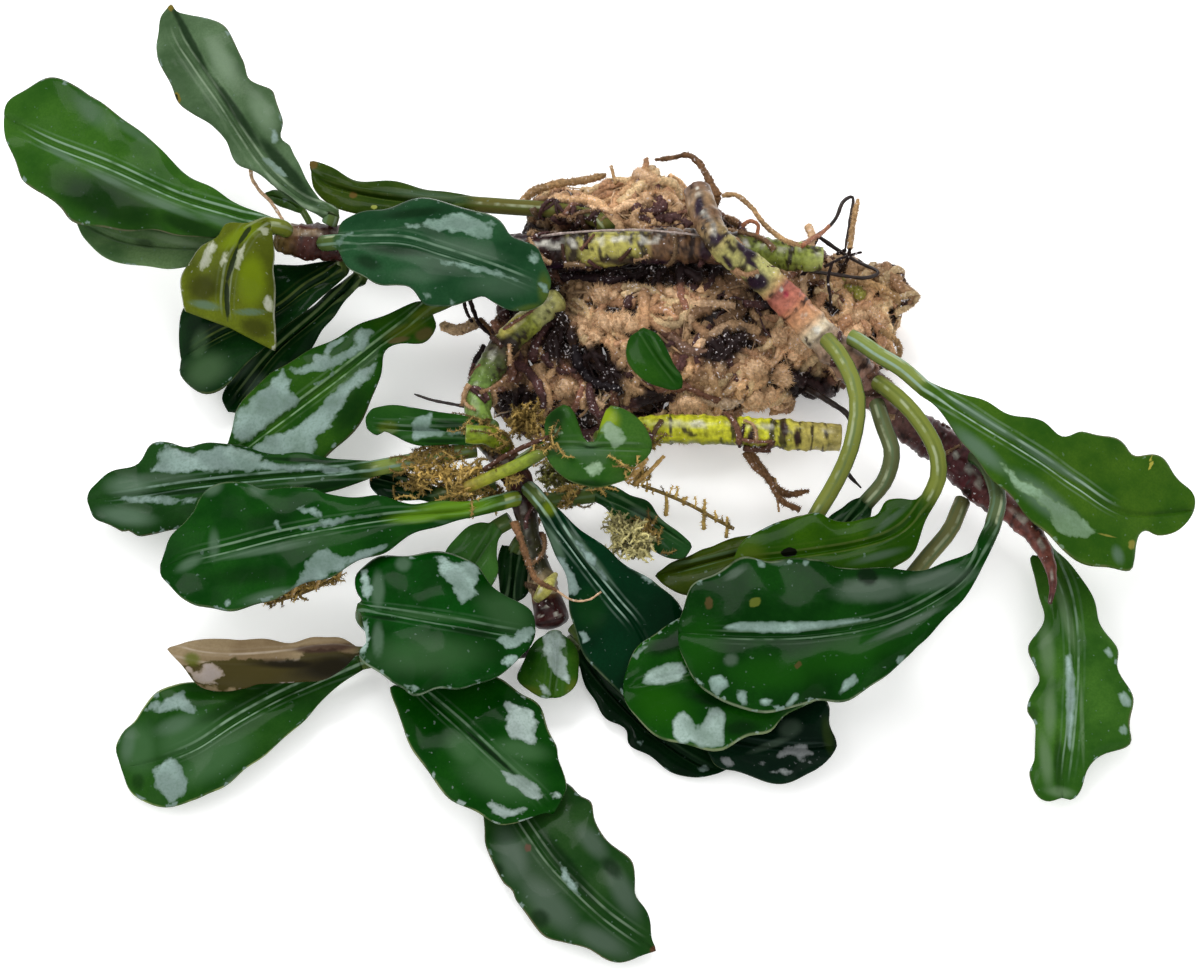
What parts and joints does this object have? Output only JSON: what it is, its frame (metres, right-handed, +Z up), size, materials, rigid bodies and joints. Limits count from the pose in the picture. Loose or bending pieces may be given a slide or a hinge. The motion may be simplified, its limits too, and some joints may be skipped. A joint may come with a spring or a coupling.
{
  "type": "bare-root bucephalandra plant",
  "caption": "Small bare-root aquarium plant lying on its side: glossy wavy dark leaves on creeping rhizomes round a tangle of brown roots, with bits of moss.",
  "frame": {"origin": "centre of the bounding box's base, on the surface that the plant lies on", "axes": "+Z up; +X towards the far-right leaves; +Y towards the back, away from the camera that took the picture"},
  "size_m": [0.1513, 0.1293, 0.0254],
  "materials": {
    "leaf": "gloss",
    "dark_leaf": "gloss",
    "olive_leaf": "gloss",
    "dead_leaf": "satin",
    "rhizome": "satin",
    "roots": "matte",
    "black_roots": "satin",
    "moss": "matte"
  },
  "bodies": {
    "root": {"leaf_far_left": "leaf", "leaf_behind_far_left": "leaf", "leaf_pointing_up": "leaf", "leaf_tiny": "leaf", "leaf_wet_left": "leaf", "leaf_middle_left": "leaf", "leaf_wavy_left": "leaf", "leaf_strip": "leaf", "leaf_notched": "leaf", "leaf_broad": "leaf", "leaf_pale": "leaf", "leaf_front_left": "leaf", "leaf_front_upper": "leaf", "leaf_light_wet": "leaf", "leaf_round": "leaf", "leaf_arching": "leaf", "leaf_far_right": "leaf", "leaf_hanging_right": "leaf", "leaf_on_roots": "leaf", "leaf_dark_glossy": "dark_leaf", "leaf_shaded_left": "dark_leaf", "leaf_shaded_right": "dark_leaf", "leaf_shaded_small": "dark_leaf", "leaf_dark_small": "dark_leaf", "leaf_deep_green": "dark_leaf", "leaf_behind_moss": "dark_leaf", "leaf_front_tip": "dark_leaf", "leaf_short_arching": "dark_leaf", "leaf_black_green": "dark_leaf", "leaf_crumpled": "dark_leaf", "leaf_bent_olive": "olive_leaf", "leaf_olive_torn": "olive_leaf", "leaf_olive_arching": "olive_leaf", "leaf_olive_low": "olive_leaf", "leaf_dead": "dead_leaf", "rhizome_upper": "rhizome", "rhizome_right": "rhizome", "rhizome_front": "rhizome", "rhizome_left": "rhizome", "rhizome_low": "rhizome", "stalk_cut": "rhizome", "bud_young": "rhizome", "root_mass": "roots", "root_top_left": "roots", "root_top_hook": "roots", "root_arc": "roots", "root_tan_stick": "roots", "root_right_fork": "roots", "root_right_curl": "roots", "root_front_down": "roots", "root_left_stub": "roots", "root_lower": "roots", "root_black_loop": "black_roots", "root_black_out": "black_roots", "root_black_front": "black_roots", "root_black_thin": "black_roots", "moss_gold": "moss", "moss_tuft": "moss", "moss_comb": "moss", "moss_fringe": "moss"}
  },
  "joints": []
}
